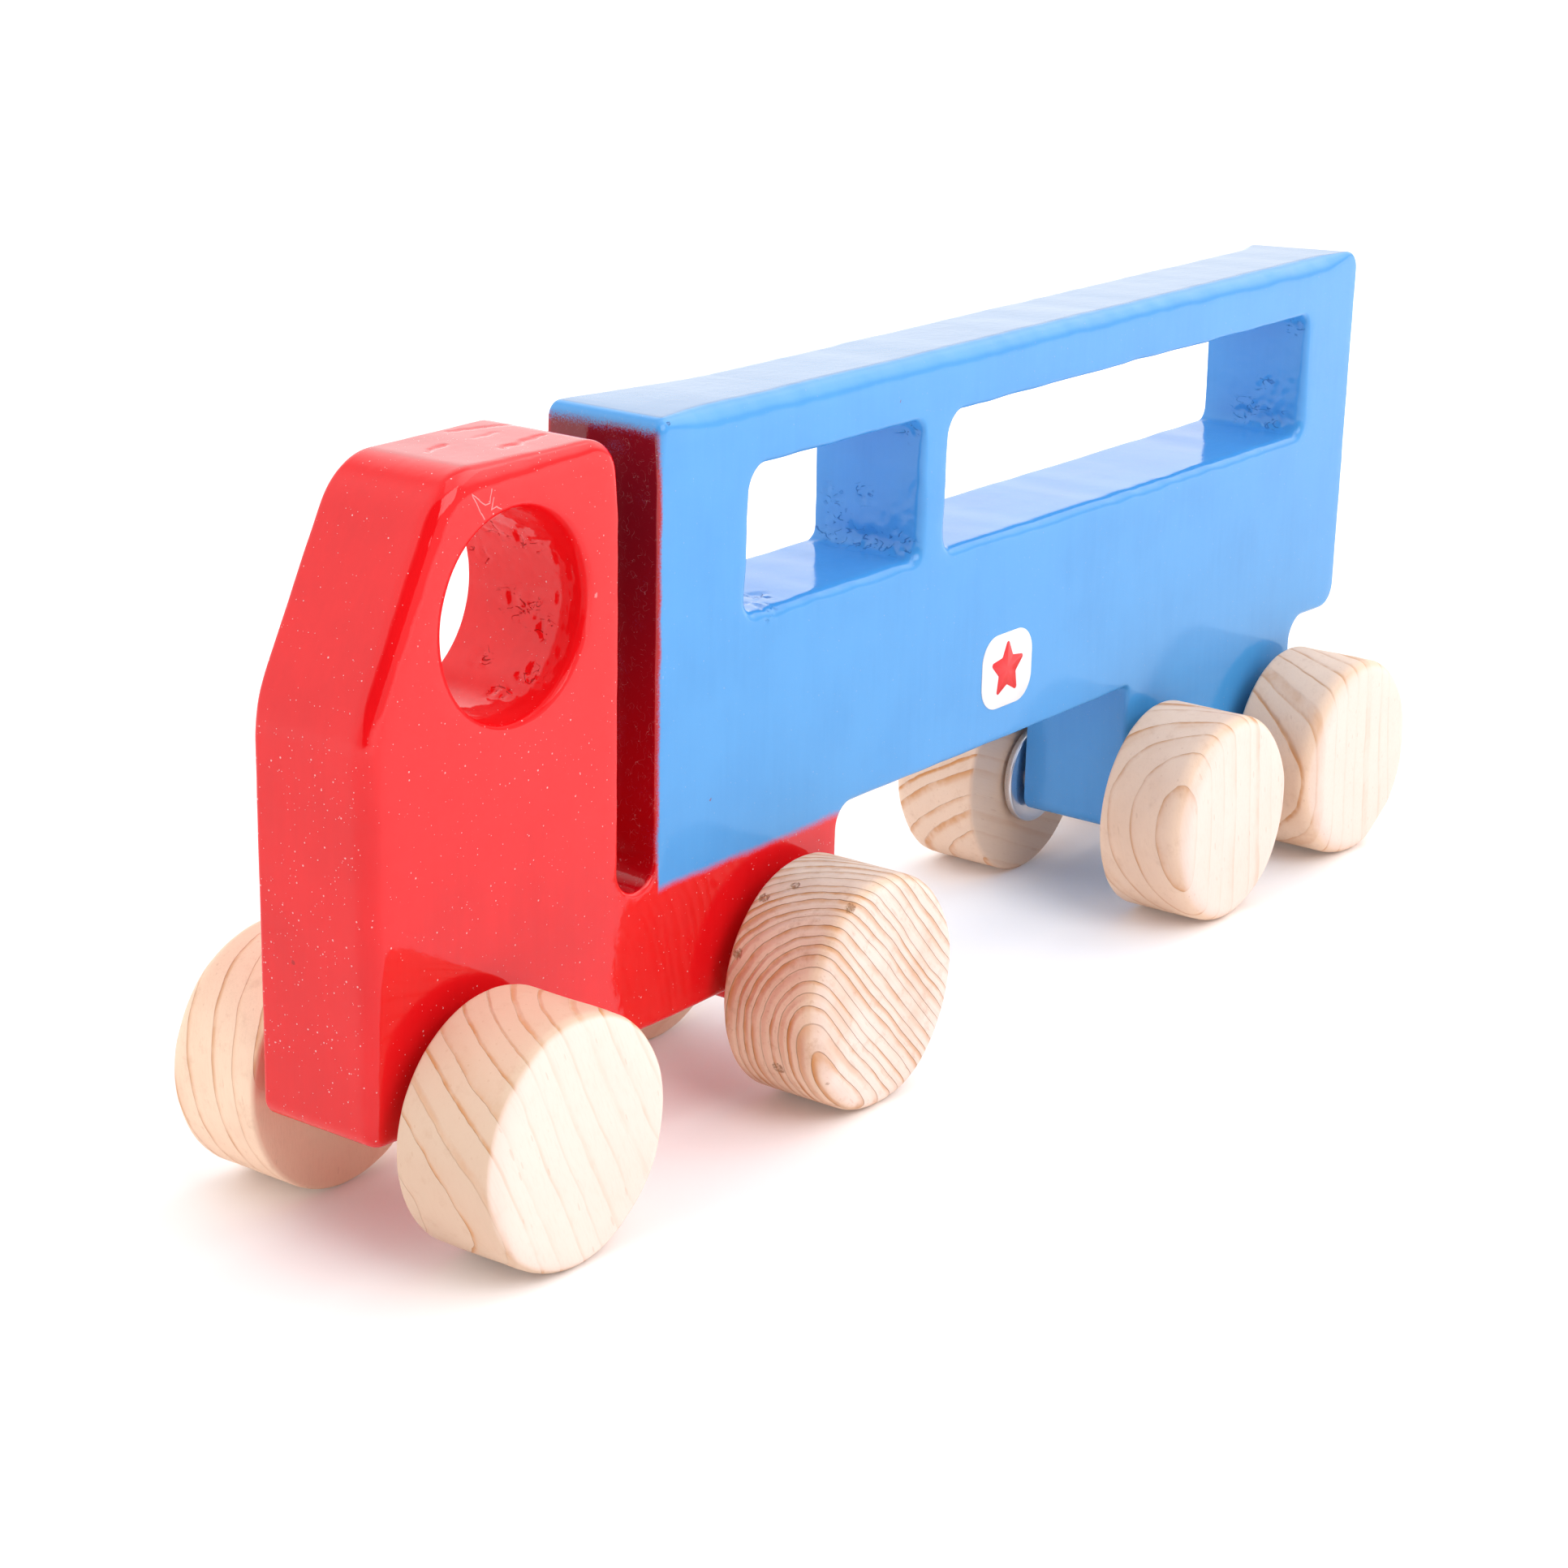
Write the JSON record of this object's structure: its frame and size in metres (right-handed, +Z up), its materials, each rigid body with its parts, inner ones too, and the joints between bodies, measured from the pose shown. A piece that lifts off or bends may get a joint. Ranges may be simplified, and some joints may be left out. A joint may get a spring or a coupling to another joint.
{
  "type": "push along truck",
  "caption": "Solid pine block sawn and painted as a cab and long trailer with windows and a hand hole, rolling on plain wooden wheels.",
  "frame": {"origin": "on the floor, under the middle of the truck's bounding box", "axes": "+X forward (cab end), +Y the truck's left, +Z up"},
  "size_m": [0.36, 0.082, 0.1465],
  "materials": {
    "painted_pine": "thick gloss paint, red on the cab and chassis, light blue on the trailer, with soft sprayed edges",
    "bare_pine": "sanded bare pine with visible growth rings",
    "steel_rod": "plain drawn rod",
    "zinc_washer": "bright zinc plate",
    "sticker_vinyl": "satin vinyl, white with a plain red emblem"
  },
  "bodies": {
    "block": {"body_block": "painted_pine", "side_sticker": "sticker_vinyl"},
    "front_wheelset": {"front_axle": "steel_rod", "front_wheel_left": "bare_pine", "front_wheel_right": "bare_pine", "front_washer_left": "zinc_washer", "front_washer_right": "zinc_washer"},
    "chassis_wheelset": {"chassis_axle": "steel_rod", "chassis_wheel_left": "bare_pine", "chassis_wheel_right": "bare_pine", "chassis_washer_left": "zinc_washer", "chassis_washer_right": "zinc_washer"},
    "bogie_front_wheelset": {"bogie_front_axle": "steel_rod", "bogie_front_wheel_left": "bare_pine", "bogie_front_wheel_right": "bare_pine", "bogie_front_washer_left": "zinc_washer", "bogie_front_washer_right": "zinc_washer"},
    "bogie_rear_wheelset": {"bogie_rear_axle": "steel_rod", "bogie_rear_wheel_left": "bare_pine", "bogie_rear_wheel_right": "bare_pine", "bogie_rear_washer_left": "zinc_washer", "bogie_rear_washer_right": "zinc_washer"}
  },
  "joints": [
    {"name": "front_axle_spin", "type": "hinge", "parent": "block", "child": "front_wheelset", "pos_m": [0.154, 0, 0.025], "axis": [0, 1, 0], "continuous": true},
    {"name": "chassis_axle_spin", "type": "hinge", "parent": "block", "child": "chassis_wheelset", "pos_m": [0.058, 0, 0.025], "axis": [0, 1, 0], "continuous": true},
    {"name": "bogie_front_axle_spin", "type": "hinge", "parent": "block", "child": "bogie_front_wheelset", "pos_m": [-0.086, 0, 0.025], "axis": [0, 1, 0], "continuous": true},
    {"name": "bogie_rear_axle_spin", "type": "hinge", "parent": "block", "child": "bogie_rear_wheelset", "pos_m": [-0.149, 0, 0.025], "axis": [0, 1, 0], "continuous": true}
  ]
}
